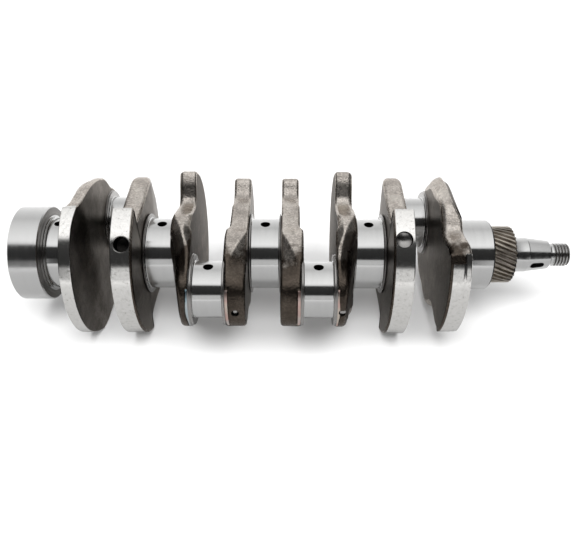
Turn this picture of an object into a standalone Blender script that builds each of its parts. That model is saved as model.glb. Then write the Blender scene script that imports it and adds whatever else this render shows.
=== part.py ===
"""One-piece forged crankshaft of an inline four-cylinder engine, with the parts fitted to it.

Frame: +X runs along the main axis from the flywheel flange to the threaded nose, +Z is up,
and the origin is on the main axis, halfway along the overall length. The crank plane is
level: crankpins 1 and 4 point to +Y, crankpins 2 and 3 to -Y. Numbers count from the nose.
"""
import math

import bmesh
import bpy
from mathutils import Vector

MM = 0.001

# Driving dimensions, in millimetres.
BORE_PITCH = 86.6          # distance between neighbouring main journals
THROW = 50.0               # crank radius, half the stroke
MAIN_R = 30.0              # main journal radius
MAIN_LEN = 23.4            # inner main journal, collar to collar
PIN_R = 22.7               # crankpin radius
PIN_LEN = 23.2             # crankpin, cheek to cheek
GAP = 0.3                  # clearance between pieces that touch

FLANGE_R = 40.0
FLANGE_LEN = 24.8
REAR_TO_CENTRE_MAIN = 207.9     # flange's rear face to the middle of main journal 3
MAIN_1_FRONT = 189.7            # front end of main journal 1, from the same place
GEAR_FRONT = 209.4
PULLEY_SEAT_FRONT = 223.2
TAPER_FRONT = 242.3
RELIEF_FRONT = 246.3
NOSE_FRONT = 259.8

LENGTH = REAR_TO_CENTRE_MAIN + NOSE_FRONT
CENTRE_MAIN_X = REAR_TO_CENTRE_MAIN - LENGTH / 2

COLLAR_R = MAIN_R + 4.0         # raised thrust collar beside each main journal
COLLAR_LEN = 0.9
CHEEK_R = PIN_R + 5.6           # machined cheek beside each crankpin
CHEEK_LEN = 1.8

NOSE_REACH = THROW + 29.5       # web's outermost point past the crankpin
COUNTERWEIGHT_R = 68.5
COUNTERWEIGHT_ANGLE = math.radians(67.0)
CORNER_Z = COUNTERWEIGHT_R * math.sin(COUNTERWEIGHT_ANGLE)
WEB_EDGE = 1.6                  # rounding of the forged edges
NOSE_LEAN = math.radians(10.0)  # slant that thins a nose on the main journal's side
NOSE_LEAN_START = 34.0          # where that slant begins, from the main axis

OIL_HOLE_R = 3.0
MAIN_OIL_SIDE = [-1, 1, 1, 1, 1]     # 1 where a main journal's oil hole is on top
PLUG_R = 2.8
BALANCE_R = 6.0
BALANCE_DEPTH = 14.0
BALANCE_TURN = {2: math.radians(46.0), 7: math.radians(41.0)}    # above the level, by web

GEAR_TEETH = 34
GEAR_MODULE = 1.25              # normal module
GEAR_HELIX = math.radians(22.8)
GEAR_LAYERS = 2                 # steps of the twist
GEAR_SEAT_R = 17.7

PULLEY_SEAT_R = 14.75
TAPER_END_R = 12.1
RELIEF_R = 9.4
THREAD_R = 10.1
KEYWAY_WIDTH = 5.0
KEYWAY_DEPTH = 3.6
KEYWAY_START = 225.8            # from the centre main journal
KEYWAY_END = 237.1
KEYWAY_TURN = math.radians(8.0)     # below the level crank plane, on the -Y side

BEARING_BORE_R = 17.5           # pilot bearing 15 x 35 x 11
BEARING_INNER_BORE_R = 7.5
BEARING_WIDTH = 11.0
BEARING_INSET = 1.5             # from the flange's rear face
BALL_R = 2.95
BALL_COUNT = 8
BALL_PITCH_R = 12.5
SPIGOT_BORE_R = 11.0

BOLT_COUNT = 6
BOLT_PCD_R = 29.0
BOLT_HOLE_R = 4.4
BOLT_DEPTH = 18.0
DOWEL_R = 3.0
DOWEL_ANGLE = math.radians(45.0)
DOWEL_DEPTH = 10.0

ROUND_STEPS = 32
BEARING_STEPS = 24
PAD_STEPS = 30

MAIN_X = [CENTRE_MAIN_X + (3 - number) * BORE_PITCH for number in range(1, 6)]
PIN_X = [CENTRE_MAIN_X + (2.5 - number) * BORE_PITCH for number in range(1, 5)]
PIN_SIDE = [1, -1, -1, 1]       # +1 for a crankpin towards +Y
REAR_X = -LENGTH / 2
WEB_MAIN_FACE = MAIN_LEN / 2 + COLLAR_LEN       # from the main journal's middle
WEB_PIN_FACE = PIN_LEN / 2 + CHEEK_LEN          # from the crankpin's middle
WEB_THICKNESS = BORE_PITCH / 2 - WEB_MAIN_FACE - WEB_PIN_FACE
TIP_SHIFT = (NOSE_REACH - NOSE_LEAN_START) * math.tan(NOSE_LEAN) / 2


def material(name, colour, roughness, metallic):
    mat = bpy.data.materials.new(name)
    mat.use_nodes = True
    shader = mat.node_tree.nodes["Principled BSDF"]
    shader.inputs["Base Color"].default_value = (*colour, 1.0)
    shader.inputs["Roughness"].default_value = roughness
    shader.inputs["Metallic"].default_value = metallic
    return mat


def start_scene():
    for obj in list(bpy.data.objects):
        bpy.data.objects.remove(obj)
    parts = bpy.data.collections.new("crankshaft")
    cutters = bpy.data.collections.new("cutters")
    bpy.context.scene.collection.children.link(parts)
    bpy.context.scene.collection.children.link(cutters)
    return parts, cutters


PARTS, CUTTERS = start_scene()
FORGED = material("forged_steel", (0.085, 0.075, 0.066), 0.5, 0.85)
GROUND = material("ground_journal", (0.72, 0.72, 0.73), 0.18, 1.0)
MACHINED = material("machined_steel", (0.6, 0.6, 0.61), 0.3, 1.0)
GEAR_STEEL = material("gear_steel", (0.30, 0.245, 0.19), 0.38, 0.9)
PLUG_STEEL = material("plug_steel", (0.55, 0.55, 0.56), 0.25, 1.0)
BEARING_STEEL = material("bearing_steel", (0.66, 0.67, 0.69), 0.16, 1.0)
CAGE_STEEL = material("cage_steel", (0.48, 0.46, 0.42), 0.4, 0.9)
SEAL_RUBBER = material("seal_rubber", (0.03, 0.03, 0.032), 0.6, 0.0)


def add_object(name, mesh, mat, collection=None):
    obj = bpy.data.objects.new(name, mesh)
    (collection or PARTS).objects.link(obj)
    if mat is not None:
        mesh.materials.append(mat)
    return obj


def along_x(obj, x, y=0.0, z=0.0):
    """Stand a piece that was drawn around its own Z axis on a line parallel to world X."""
    obj.rotation_euler = (0.0, math.pi / 2, 0.0)
    obj.location = (x * MM, y * MM, z * MM)


def turned(name, profile, mat, closed=False, steps=ROUND_STEPS, collection=None):
    """Turn a profile of (radius, height) points, in mm, around Z; it runs down the outside."""
    mesh = bpy.data.meshes.new(name)
    points = [(radius * MM, 0.0, height * MM) for radius, height in profile]
    edges = [(i, i + 1) for i in range(len(points) - 1)]
    if closed:
        edges.append((len(points) - 1, 0))
    mesh.from_pydata(points, edges, [])
    obj = add_object(name, mesh, mat, collection)
    screw = obj.modifiers.new("Screw", "SCREW")
    screw.axis = "Z"
    screw.angle = 2 * math.pi
    screw.steps = steps
    screw.render_steps = steps
    screw.use_merge_vertices = True
    screw.merge_threshold = 0.00001
    screw.use_smooth_shade = True
    return obj


def arc(centre, radius, start, end, count):
    """Points on a circle's arc, both ends included; the angles are in radians."""
    return [(centre[0] + radius * math.cos(start + (end - start) * i / count),
             centre[1] + radius * math.sin(start + (end - start) * i / count))
            for i in range(count + 1)]


def plate(name, outline, thickness, mat):
    """A flat outline in mm, as a mesh with real caps, centred on its own XY plane."""
    curve = bpy.data.curves.new(name + "_outline", "CURVE")
    curve.dimensions = "2D"
    curve.fill_mode = "BOTH"
    curve.extrude = thickness / 2 * MM
    spline = curve.splines.new("POLY")
    spline.points.add(len(outline) - 1)
    for point, (x, y) in zip(spline.points, outline):
        point.co = (x * MM, y * MM, 0.0, 1.0)
    spline.use_cyclic_u = True
    guide = bpy.data.objects.new(name + "_outline", curve)
    CUTTERS.objects.link(guide)
    bpy.context.view_layer.update()
    evaluated = guide.evaluated_get(bpy.context.evaluated_depsgraph_get())
    mesh = bpy.data.meshes.new_from_object(evaluated)
    bpy.data.objects.remove(guide)
    work = bmesh.new()
    work.from_mesh(mesh)
    bmesh.ops.remove_doubles(work, verts=work.verts, dist=0.000001)
    bmesh.ops.recalc_face_normals(work, faces=work.faces)
    work.to_mesh(mesh)
    work.free()
    return add_object(name, mesh, mat)


def as_cutter(obj):
    obj.hide_render = True
    obj.display_type = "WIRE"
    for collection in list(obj.users_collection):
        collection.objects.unlink(obj)
    CUTTERS.objects.link(obj)
    return obj


def cut(obj, cutter, operation="DIFFERENCE"):
    boolean = obj.modifiers.new("Cut", "BOOLEAN")
    boolean.operation = operation
    boolean.solver = "EXACT"
    boolean.object = cutter


def drill(name, start, direction, radius, depth, steps=20):
    """A cylinder cutter, in mm, whose mouth end is at start and which goes along direction."""
    mesh = bpy.data.meshes.new(name)
    work = bmesh.new()
    bmesh.ops.create_cone(work, cap_ends=True, segments=steps, radius1=radius * MM,
                          radius2=radius * MM, depth=depth * MM)
    work.to_mesh(mesh)
    work.free()
    obj = add_object(name, mesh, None)
    way = Vector(direction).normalized()
    obj.rotation_mode = "QUATERNION"
    obj.rotation_quaternion = way.to_track_quat("Z", "Y")
    obj.location = (Vector(start) + way * depth / 2) * MM
    return as_cutter(obj)


def block(name, centre, size, mat):
    mesh = bpy.data.meshes.new(name)
    work = bmesh.new()
    bmesh.ops.create_cube(work, size=1.0)
    bmesh.ops.scale(work, vec=Vector(size) * MM, verts=work.verts)
    work.to_mesh(mesh)
    work.free()
    obj = add_object(name, mesh, mat)
    obj.location = Vector(centre) * MM
    return obj


def bevelled(obj, width, segments=1, angle=30.0):
    bevel = obj.modifiers.new("Bevel", "BEVEL")
    bevel.width = width * MM
    bevel.segments = segments
    bevel.limit_method = "ANGLE"
    bevel.angle_limit = math.radians(angle)
    return obj


def journal_profile(radius, low, high):
    """A ground journal with lightly broken edges, from its top end cap down to its bottom one."""
    edge = 0.4
    return [(0.0, high), (radius - edge, high), (radius, high - edge), (radius, low + edge),
            (radius - edge, low), (0.0, low)]


def make_main_journals():
    half = MAIN_LEN / 2 - GAP
    for number, x in enumerate(MAIN_X, start=1):
        name = f"main_journal_{number}"
        profile = journal_profile(MAIN_R, -half, half)
        if number == 1:
            profile = journal_profile(MAIN_R, -half, CENTRE_MAIN_X + MAIN_1_FRONT - x)
        if number == 5:
            rear = REAR_X + FLANGE_LEN + GAP - x
            profile = profile[:3] + [(MAIN_R, rear + 3.4), (MAIN_R + 1.2, rear + 3.0),
                                     (MAIN_R + 1.2, rear + 1.6), (MAIN_R + 2.4, rear + 1.2),
                                     (MAIN_R + 2.4, rear), (0.0, rear)]
        obj = turned(name, profile, GROUND)
        along_x(obj, x)
        up = MAIN_OIL_SIDE[number - 1]
        mouth = (x, 0.0, up * (MAIN_R + 1.0))
        cut(obj, drill(name + "_oil", mouth, (0, 0, -up), OIL_HOLE_R, MAIN_R, 12))


def make_crankpins():
    half = PIN_LEN / 2 - GAP
    for number, (x, side) in enumerate(zip(PIN_X, PIN_SIDE), start=1):
        name = f"crankpin_{number}"
        obj = turned(name, journal_profile(PIN_R, -half, half), GROUND)
        along_x(obj, x, side * THROW)
        up = -side
        mouth = (x, side * THROW, up * (PIN_R + 1.0))
        cut(obj, drill(name + "_oil", mouth, (0, 0, -up), OIL_HOLE_R, PIN_R, 12))


def half_outline(weight_r, weight_angle, shoulder, nose_r, nose_start):
    """The upper half of a web, from the counterweight's middle to the nose, as (s, z)."""
    weight = [(-weight_r * math.cos(a), weight_r * math.sin(a))
              for a in [weight_angle * i / 10 for i in range(11)]]
    nose = arc((NOSE_REACH - nose_r, 0.0), nose_r, nose_start, 0.0, 7)
    return weight + shoulder + nose


# Each web's upper half: s runs from the main axis towards the crankpin, z is up.
OUTER_WEB = half_outline(COUNTERWEIGHT_R, COUNTERWEIGHT_ANGLE,
                         [(-25.2, 52.5), (-21.0, 50.5), (-9.0, 50.0), (15.0, 52.0),
                          (27.0, 53.3), (36.0, 53.2), (44.0, 50.0), (52.0, 45.0),
                          (60.0, 36.0)], 33.0, math.radians(57.0))
REAR_WEB = half_outline(COUNTERWEIGHT_R, COUNTERWEIGHT_ANGLE,
                        [(-11.0, 62.5), (10.0, 60.0), (20.0, 58.5), (31.0, 55.5),
                         (41.5, 50.2), (48.0, 46.0), (58.5, 34.0)], 33.0, math.radians(57.0))
FRONT_WEB = half_outline(COUNTERWEIGHT_R, math.radians(36.0),
                         [(-47.0, 42.5), (-30.0, 39.5), (-22.0, 40.0), (-14.0, 47.0),
                          (-5.0, 53.0), (10.0, 55.0), (25.0, 55.0), (40.0, 53.0),
                          (52.0, 46.5), (60.0, 36.0)], 33.0, math.radians(57.0))
INNER_R = 70.0
INNER_WEB = half_outline(INNER_R, math.asin(CORNER_Z / INNER_R),
                         [(-16.6, 43.1), (-6.9, 42.3), (5.0, 45.5), (18.9, 49.8), (33.0, 48.4),
                          (45.0, 39.5)], 29.5, math.radians(62.0))
MIDDLE_WEB = half_outline(67.5, math.radians(44.0),
                          [(-44.0, 48.5), (-32.0, 38.5), (-17.0, 38.6), (0.0, 37.0),
                           (15.0, 36.5), (28.0, 38.0), (42.0, 34.0)], 29.5, math.radians(66.0))


def mirrored(half):
    """Close a half outline with its mirror image below, leaving the two middle points single."""
    return half + [(s, -z) for s, z in reversed(half[1:-1])]


def make_webs():
    for number in range(1, 9):
        pin = (number - 1) // 2
        side = PIN_SIDE[pin]
        towards_nose = 1 if number % 2 else -1         # the web's side of its crankpin
        name = f"web_{number}"
        if number == 1:
            half = FRONT_WEB
        elif number == 8:
            half = REAR_WEB
        elif number in (2, 7):
            half = OUTER_WEB
        elif number in (3, 6):
            half = INNER_WEB
        else:
            half = MIDDLE_WEB
        outline = [(-z, side * s) for s, z in mirrored(half)]
        centre_x = PIN_X[pin] + towards_nose * (WEB_PIN_FACE + WEB_THICKNESS / 2)
        obj = plate(name, outline, WEB_THICKNESS, FORGED)
        along_x(obj, centre_x)
        bevelled(obj, WEB_EDGE)
        add_pads(obj, PIN_X[pin], centre_x, side, towards_nose)
        slanted = number not in (4, 5)
        if slanted:
            cut(obj, nose_wedge(name, centre_x, side, towards_nose))
        if number in BALANCE_TURN:
            turn = BALANCE_TURN[number]
            way = Vector((0.0, side * math.cos(turn), -math.sin(turn)))
            mouth = Vector((centre_x, 0.0, 0.0)) - way * (COUNTERWEIGHT_R + 1.0)
            cut(obj, drill(name + "_balance", mouth, way, BALANCE_R, BALANCE_DEPTH, 24))
        if number % 2:
            tip_x = centre_x - towards_nose * (TIP_SHIFT if slanted else 0.0)
            mouth = Vector((tip_x, side * (NOSE_REACH + 1.0), 0.0))
            cut(obj, drill(name + "_oilway", mouth, (0, -side, 0), PLUG_R + GAP, 12.0, 12))
            make_oil_plug(pin + 1, tip_x, side)


def add_pads(obj, pin_x, web_x, side, towards_nose):
    """The machined cheek around the crankpin and the thrust collar around the main journal."""
    root = 3.0                                     # how far a pad reaches into the web
    away = Vector((towards_nose, 0, 0))
    cheek_face = Vector((pin_x + towards_nose * PIN_LEN / 2, side * THROW, 0.0))
    cheek = drill(obj.name + "_cheek", cheek_face, away, CHEEK_R, CHEEK_LEN + root, PAD_STEPS)
    collar_x = web_x + towards_nose * (WEB_THICKNESS / 2 + COLLAR_LEN)
    collar_face = Vector((collar_x, 0.0, 0.0))
    collar = drill(obj.name + "_collar", collar_face, -away, COLLAR_R, COLLAR_LEN + root,
                   PAD_STEPS)
    cut(obj, cheek, "UNION")
    cut(obj, collar, "UNION")


def nose_wedge(name, web_x, side, towards_nose):
    """A slanted block that thins the web's nose on the main journal's side."""
    lean = NOSE_LEAN
    start_s = NOSE_LEAN_START
    size = Vector((20.0, 80.0, 140.0))
    face_x = web_x + towards_nose * WEB_THICKNESS / 2
    along = Vector((-towards_nose * math.sin(lean), side * math.cos(lean), 0.0))
    outward = Vector((towards_nose * math.cos(lean), side * math.sin(lean), 0.0))
    hinge = Vector((face_x, side * start_s, 0.0))
    wedge = block(name + "_wedge", hinge + along * size.y / 2 + outward * size.x / 2, size, None)
    wedge.rotation_euler = (0.0, 0.0, side * towards_nose * lean)
    return as_cutter(wedge)


def make_oil_plug(number, x, side):
    """A pressed plug that closes the oil drilling at the tip of the web beside its crankpin."""
    length = 5.0
    profile = [(0.0, length / 2), (PLUG_R - 0.4, length / 2), (PLUG_R, length / 2 - 0.4),
               (PLUG_R, -length / 2), (0.0, -length / 2)]
    obj = turned(f"oil_plug_{number}", profile, PLUG_STEEL, steps=12)
    obj.rotation_euler = (-side * math.pi / 2, 0.0, 0.0)
    obj.location = (x * MM, side * (NOSE_REACH - 1.0 - length / 2) * MM, 0.0)


def make_flange():
    top = FLANGE_LEN
    profile = [(0.0, top), (FLANGE_R - 1.0, top), (FLANGE_R, top - 1.0), (FLANGE_R, 1.0),
               (FLANGE_R - 1.0, 0.0), (BEARING_BORE_R + 0.8, 0.0), (BEARING_BORE_R, 0.8),
               (BEARING_BORE_R, BEARING_INSET + BEARING_WIDTH + GAP),
               (SPIGOT_BORE_R, BEARING_INSET + BEARING_WIDTH + GAP),
               (SPIGOT_BORE_R, FLANGE_LEN - 4.0), (0.0, FLANGE_LEN - 4.0)]
    obj = turned("flywheel_flange", profile, MACHINED, steps=40)
    along_x(obj, REAR_X)
    for i in range(BOLT_COUNT):
        angle = 2 * math.pi * (i + 0.25) / BOLT_COUNT
        mouth = (REAR_X - 1.0, BOLT_PCD_R * math.cos(angle), BOLT_PCD_R * math.sin(angle))
        cut(obj, drill(f"bolt_hole_{i + 1}", mouth, (1, 0, 0), BOLT_HOLE_R, BOLT_DEPTH, 12))
    y = BOLT_PCD_R * math.cos(DOWEL_ANGLE)
    z = BOLT_PCD_R * math.sin(DOWEL_ANGLE)
    mouth = (REAR_X - 1.0, y, z)
    cut(obj, drill("dowel_hole", mouth, (1, 0, 0), DOWEL_R, DOWEL_DEPTH, 12))


def make_nose():
    start = MAIN_1_FRONT + GAP
    seat_end = GEAR_FRONT + GAP
    heights = [RELIEF_FRONT, TAPER_FRONT, PULLEY_SEAT_FRONT, seat_end]
    profile = [(0.0, heights[0]), (RELIEF_R, heights[0]), (RELIEF_R, heights[1] + 0.6),
               (TAPER_END_R, heights[1]), (PULLEY_SEAT_R, heights[2]),
               (PULLEY_SEAT_R, heights[3]), (GEAR_SEAT_R, heights[3]),
               (GEAR_SEAT_R, start), (0.0, start)]
    local = [(radius, height - start) for radius, height in profile]
    obj = turned("front_nose", local, MACHINED)
    along_x(obj, CENTRE_MAIN_X + start)
    cutter = keyway_cutter()
    cut(obj, cutter)
    cut(obj, key_slot("seat_key_slot", GEAR_SEAT_R - 2.8))
    thread_len = NOSE_FRONT - RELIEF_FRONT - GAP
    thread = [(0.0, thread_len), (THREAD_R - 1.2, thread_len), (THREAD_R, thread_len - 1.2),
              (THREAD_R, 1.0), (THREAD_R - 1.0, 0.0), (0.0, 0.0)]
    screw = turned("nose_thread", thread, MACHINED)
    along_x(screw, CENTRE_MAIN_X + RELIEF_FRONT + GAP)


def keyway_cutter():
    """A slot with round ends, seen from outside the taper, milled to an even depth."""
    length = KEYWAY_END - KEYWAY_START
    half = KEYWAY_WIDTH / 2
    run = length / 2 - half
    outline = arc((run, 0.0), half, -math.pi / 2, math.pi / 2, 8)
    outline += arc((-run, 0.0), half, math.pi / 2, 3 * math.pi / 2, 8)
    obj = plate("keyway_cutter", outline, 20.0, None)
    centre_x = CENTRE_MAIN_X + (KEYWAY_START + KEYWAY_END) / 2
    taper = (PULLEY_SEAT_R + TAPER_END_R) / 2
    middle = taper - KEYWAY_DEPTH + 10.0
    way = Vector((0.0, -math.cos(KEYWAY_TURN), -math.sin(KEYWAY_TURN)))
    obj.rotation_euler = (math.pi / 2 + KEYWAY_TURN, 0.0, 0.0)
    obj.location = (Vector((centre_x, 0.0, 0.0)) + way * middle) * MM
    return as_cutter(obj)


KEY_LEN = 14.0
KEY_WIDTH = 5.0
KEY_TALL = 5.0


def key_slot(name, floor_r):
    """The slot for the gear's key, on the -Y side, open to the front."""
    size = (KEY_LEN + 12.0, 30.0, KEY_WIDTH + 2 * GAP)
    centre_x = CENTRE_MAIN_X + GEAR_FRONT - KEY_LEN - GAP + size[0] / 2
    return as_cutter(block(name, (centre_x, -(floor_r + size[1] / 2), 0.0), size, None))


def make_gear_key():
    low = GEAR_SEAT_R - 2.8 + GAP
    centre = (CENTRE_MAIN_X + GEAR_FRONT - KEY_LEN / 2, -(low + KEY_TALL / 2), 0.0)
    bevelled(block("gear_key", centre, (KEY_LEN, KEY_TALL, KEY_WIDTH), PLUG_STEEL), 0.3)


def make_drive_gear():
    """A helical gear: one ring of tooth outlines lofted along X with an even twist."""
    width = GEAR_FRONT - MAIN_1_FRONT - GAP
    pitch_r = GEAR_MODULE * GEAR_TEETH / math.cos(GEAR_HELIX) / 2
    tip_r = pitch_r + GEAR_MODULE
    root_r = pitch_r - 1.25 * GEAR_MODULE
    twist = math.tan(GEAR_HELIX) * width / pitch_r
    shape = [(0.0, root_r), (0.28, tip_r), (0.5, tip_r), (0.78, root_r)]
    ring = [((tooth + part) * 2 * math.pi / GEAR_TEETH, radius)
            for tooth in range(GEAR_TEETH) for part, radius in shape]
    work = bmesh.new()
    rings = []
    for layer in range(GEAR_LAYERS + 1):
        x = width * layer / GEAR_LAYERS
        turn = twist * layer / GEAR_LAYERS
        rings.append([work.verts.new(point_on(x, radius, angle + turn)) for angle, radius in ring])
    for low, high in zip(rings[:-1], rings[1:]):
        for i in range(len(ring)):
            k = (i + 1) % len(ring)
            work.faces.new((low[i], low[k], high[k], high[i]))
    work.faces.new(rings[0])
    work.faces.new(rings[-1])
    bmesh.ops.recalc_face_normals(work, faces=work.faces)
    mesh = bpy.data.meshes.new("drive_gear")
    work.to_mesh(mesh)
    work.free()
    obj = add_object("drive_gear", mesh, GEAR_STEEL)
    gear_x = CENTRE_MAIN_X + MAIN_1_FRONT + GAP
    obj.location = (gear_x * MM, 0.0, 0.0)
    cut(obj, drill("gear_bore", (gear_x - 1.0, 0.0, 0.0), (1, 0, 0), GEAR_SEAT_R + GAP,
                   width + 2.0, ROUND_STEPS))
    cut(obj, gear_slot())


def gear_slot():
    """The keyway in the gear's bore: only as deep as the key stands out of its seat."""
    tall = GEAR_SEAT_R - 2.8 + 2 * GAP + KEY_TALL
    size = (KEY_LEN + 2.0, tall, KEY_WIDTH + 2 * GAP)
    centre_x = CENTRE_MAIN_X + GEAR_FRONT - KEY_LEN - GAP + size[0] / 2
    return as_cutter(block("gear_key_slot", (centre_x, -tall / 2, 0.0), size, None))


def point_on(x, radius, angle):
    return (x * MM, radius * math.cos(angle) * MM, radius * math.sin(angle) * MM)


def make_pilot_bearing():
    """A small ball bearing pressed into the flange, which carries the gearbox input shaft."""
    x = REAR_X + BEARING_INSET + BEARING_WIDTH / 2
    half = BEARING_WIDTH / 2
    groove = BALL_R + 0.35
    outer_in = BALL_PITCH_R + 2.2
    inner_out = BALL_PITCH_R - 2.2
    edge = 0.6

    def race(track_r, inward):
        """The ball track, from the top down, cut into a race whose wall is at track_r."""
        depth = abs(track_r - BALL_PITCH_R)
        reach = math.sqrt(groove ** 2 - depth ** 2)
        turn = math.atan2(reach, depth)
        base = 0.0 if inward else math.pi
        return [(BALL_PITCH_R + groove * math.cos(base + a), groove * math.sin(base + a))
                for a in [turn * (1 - 2 * i / 3) for i in range(4)]]

    outer_r = BEARING_BORE_R - GAP
    track = race(outer_in, True)
    outer = [(outer_in, half), (outer_r - edge, half), (outer_r, half - edge),
             (outer_r, edge - half), (outer_r - edge, -half), (outer_in, -half)]
    outer += list(reversed(track))
    ring = turned("pilot_outer_ring", outer, BEARING_STEEL, closed=True, steps=BEARING_STEPS)
    along_x(ring, x)

    bore_r = BEARING_INNER_BORE_R
    track = [(BALL_PITCH_R - (r - BALL_PITCH_R), z) for r, z in race(outer_in, True)]
    inner = [(inner_out, half)] + track + [(inner_out, -half), (bore_r + edge, -half),
                                           (bore_r, edge - half), (bore_r, half - edge),
                                           (bore_r + edge, half)]
    ring = turned("pilot_inner_ring", inner, BEARING_STEEL, closed=True, steps=BEARING_STEPS)
    along_x(ring, x)

    cage_half = 3.9
    cage = [(BALL_PITCH_R - 1.1, cage_half), (BALL_PITCH_R + 1.1, cage_half),
            (BALL_PITCH_R + 1.1, -cage_half), (BALL_PITCH_R - 1.1, -cage_half)]
    cage_obj = turned("pilot_cage", cage, CAGE_STEEL, closed=True, steps=BEARING_STEPS)
    along_x(cage_obj, x)
    for i in range(BALL_COUNT):
        angle = 2 * math.pi * i / BALL_COUNT
        way = (0.0, math.cos(angle), math.sin(angle))
        centre = (x * MM, BALL_PITCH_R * way[1] * MM, BALL_PITCH_R * way[2] * MM)
        bpy.ops.mesh.primitive_uv_sphere_add(segments=10, ring_count=6, radius=BALL_R * MM,
                                             location=centre)
        ball = bpy.context.object
        ball.name = f"pilot_ball_{i + 1}"
        ball.data.shade_smooth()
        ball.data.materials.append(BEARING_STEEL)
        for collection in list(ball.users_collection):
            collection.objects.unlink(ball)
        PARTS.objects.link(ball)
        pocket = (x, (BALL_PITCH_R - 4.0) * way[1], (BALL_PITCH_R - 4.0) * way[2])
        cut(cage_obj, drill(f"pocket_{i + 1}", pocket, way, BALL_R + 0.3, 8.0, 12))

    shield_in = inner_out + GAP
    shield_out = outer_in - GAP
    thick = 0.7
    for name, shield_x in (("pilot_shield_rear", x - half + thick / 2 + 0.2),
                           ("pilot_shield_front", x + half - thick / 2 - 0.2)):
        ring = [(shield_in, thick / 2), (shield_out, thick / 2), (shield_out, -thick / 2),
                (shield_in, -thick / 2)]
        along_x(turned(name, ring, SEAL_RUBBER, closed=True, steps=BEARING_STEPS), shield_x)


def main():
    make_flange()
    make_main_journals()
    make_crankpins()
    make_webs()
    make_nose()
    make_gear_key()
    make_drive_gear()
    make_pilot_bearing()
    for obj in PARTS.objects:
        if len(obj.data.polygons):
            obj.data.shade_smooth()
            obj.data.set_sharp_from_angle(angle=math.radians(35.0))


main()
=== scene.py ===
"""Looks of the crankshaft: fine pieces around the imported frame, materials, light and camera.

Shapes are in millimetres in the frame's axes, and turned into metres when a mesh is made.
Materials, floor, light and camera are in metres.
"""
import math

import bmesh
import bpy
import numpy as np
from mathutils import Matrix, Vector


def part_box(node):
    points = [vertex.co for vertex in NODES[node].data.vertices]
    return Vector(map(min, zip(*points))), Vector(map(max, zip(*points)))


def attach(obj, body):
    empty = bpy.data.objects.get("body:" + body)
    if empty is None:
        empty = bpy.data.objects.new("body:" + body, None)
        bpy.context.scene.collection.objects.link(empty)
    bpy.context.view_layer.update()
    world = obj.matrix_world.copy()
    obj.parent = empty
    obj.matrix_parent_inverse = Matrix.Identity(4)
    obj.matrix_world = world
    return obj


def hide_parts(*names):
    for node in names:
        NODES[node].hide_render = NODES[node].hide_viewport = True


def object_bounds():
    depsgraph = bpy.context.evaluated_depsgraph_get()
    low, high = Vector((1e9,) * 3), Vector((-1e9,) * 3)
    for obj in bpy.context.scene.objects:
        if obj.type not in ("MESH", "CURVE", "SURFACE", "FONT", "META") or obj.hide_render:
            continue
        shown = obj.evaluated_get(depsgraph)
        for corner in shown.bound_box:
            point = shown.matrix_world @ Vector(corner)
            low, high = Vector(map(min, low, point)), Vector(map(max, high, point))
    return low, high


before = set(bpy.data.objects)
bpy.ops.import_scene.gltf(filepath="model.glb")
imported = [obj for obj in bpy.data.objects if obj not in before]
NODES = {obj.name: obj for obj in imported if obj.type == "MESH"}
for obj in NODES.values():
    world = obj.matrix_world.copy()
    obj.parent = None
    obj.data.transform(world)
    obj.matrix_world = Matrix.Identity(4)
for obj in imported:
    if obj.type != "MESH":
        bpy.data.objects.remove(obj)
CAD_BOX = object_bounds()

MM = 0.001
CRANK = "crankshaft"

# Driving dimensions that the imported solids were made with.
THROW = 50.0            # from the main axis to a crankpin's axis
MAIN_R = 30.0           # main journals
PIN_R = 22.7            # crankpins
COLLAR_R = 34.0         # machined collar on a web's main side
COLLAR_LEN = 0.9
CHEEK_R = 28.3          # machined cheek on a web's crankpin side
CHEEK_LEN = 1.8
WEB_THICKNESS = 17.3
NOSE_REACH = 79.5       # from the main axis to the tip of a web's nose
COUNTERWEIGHT_R = 68.5
OIL_HOLE_R = 3.0
FILLET = 0.8            # hollow beside each ground journal
PLUG_R = 2.8
FLANGE_R = 40.0
BOLT_CIRCLE_R = 29.0    # of the flywheel's bolts and its dowel
GEAR_GAP = 0.8          # space left in front of main journal 1
TAPER_X = 223.2         # start of the nose's taper, from the middle of main journal 3
TAPER_LEN = 19.1
KEYWAY_X = 231.45       # middle of the keyway, from the middle of main journal 3


def node_box(name):
    low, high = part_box(name)
    return np.array(low) / MM, np.array(high) / MM


def middle(name):
    low, high = node_box(name)
    return (low + high) / 2


# ---------------------------------------------------------------- materials

FINE_LINE = 0.000012    # depth of grinding lines


def new_material(name, metallic, roughness, colour):
    mat = bpy.data.materials.new(name)
    mat.use_nodes = True
    tree = mat.node_tree
    shader = tree.nodes["Principled BSDF"]
    shader.inputs["Metallic"].default_value = metallic
    shader.inputs["Roughness"].default_value = roughness
    shader.inputs["Base Color"].default_value = (*colour, 1.0)
    return mat, tree, shader


def add_node(tree, kind, inputs=None, **settings):
    node = tree.nodes.new(kind)
    for key, value in settings.items():
        setattr(node, key, value)
    for key, value in (inputs or {}).items():
        if hasattr(value, "is_output"):
            tree.links.new(value, node.inputs[key])
        else:
            node.inputs[key].default_value = value
    return node


def place(tree, scale=(1.0, 1.0, 1.0)):
    """The object's own coordinates, in metres, stretched by scale."""
    coords = add_node(tree, "ShaderNodeTexCoord")
    mapping = add_node(tree, "ShaderNodeMapping", {"Vector": coords.outputs["Object"]})
    mapping.inputs["Scale"].default_value = scale
    return mapping.outputs["Vector"]


def noise(tree, vector, scale, detail, rough):
    node = add_node(tree, "ShaderNodeTexNoise",
                    {"Vector": vector, "Scale": scale, "Detail": detail, "Roughness": rough})
    return node.outputs["Fac"]


def maths(tree, operation, *values):
    node = add_node(tree, "ShaderNodeMath", dict(enumerate(values)), operation=operation)
    return node.outputs[0]


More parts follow.
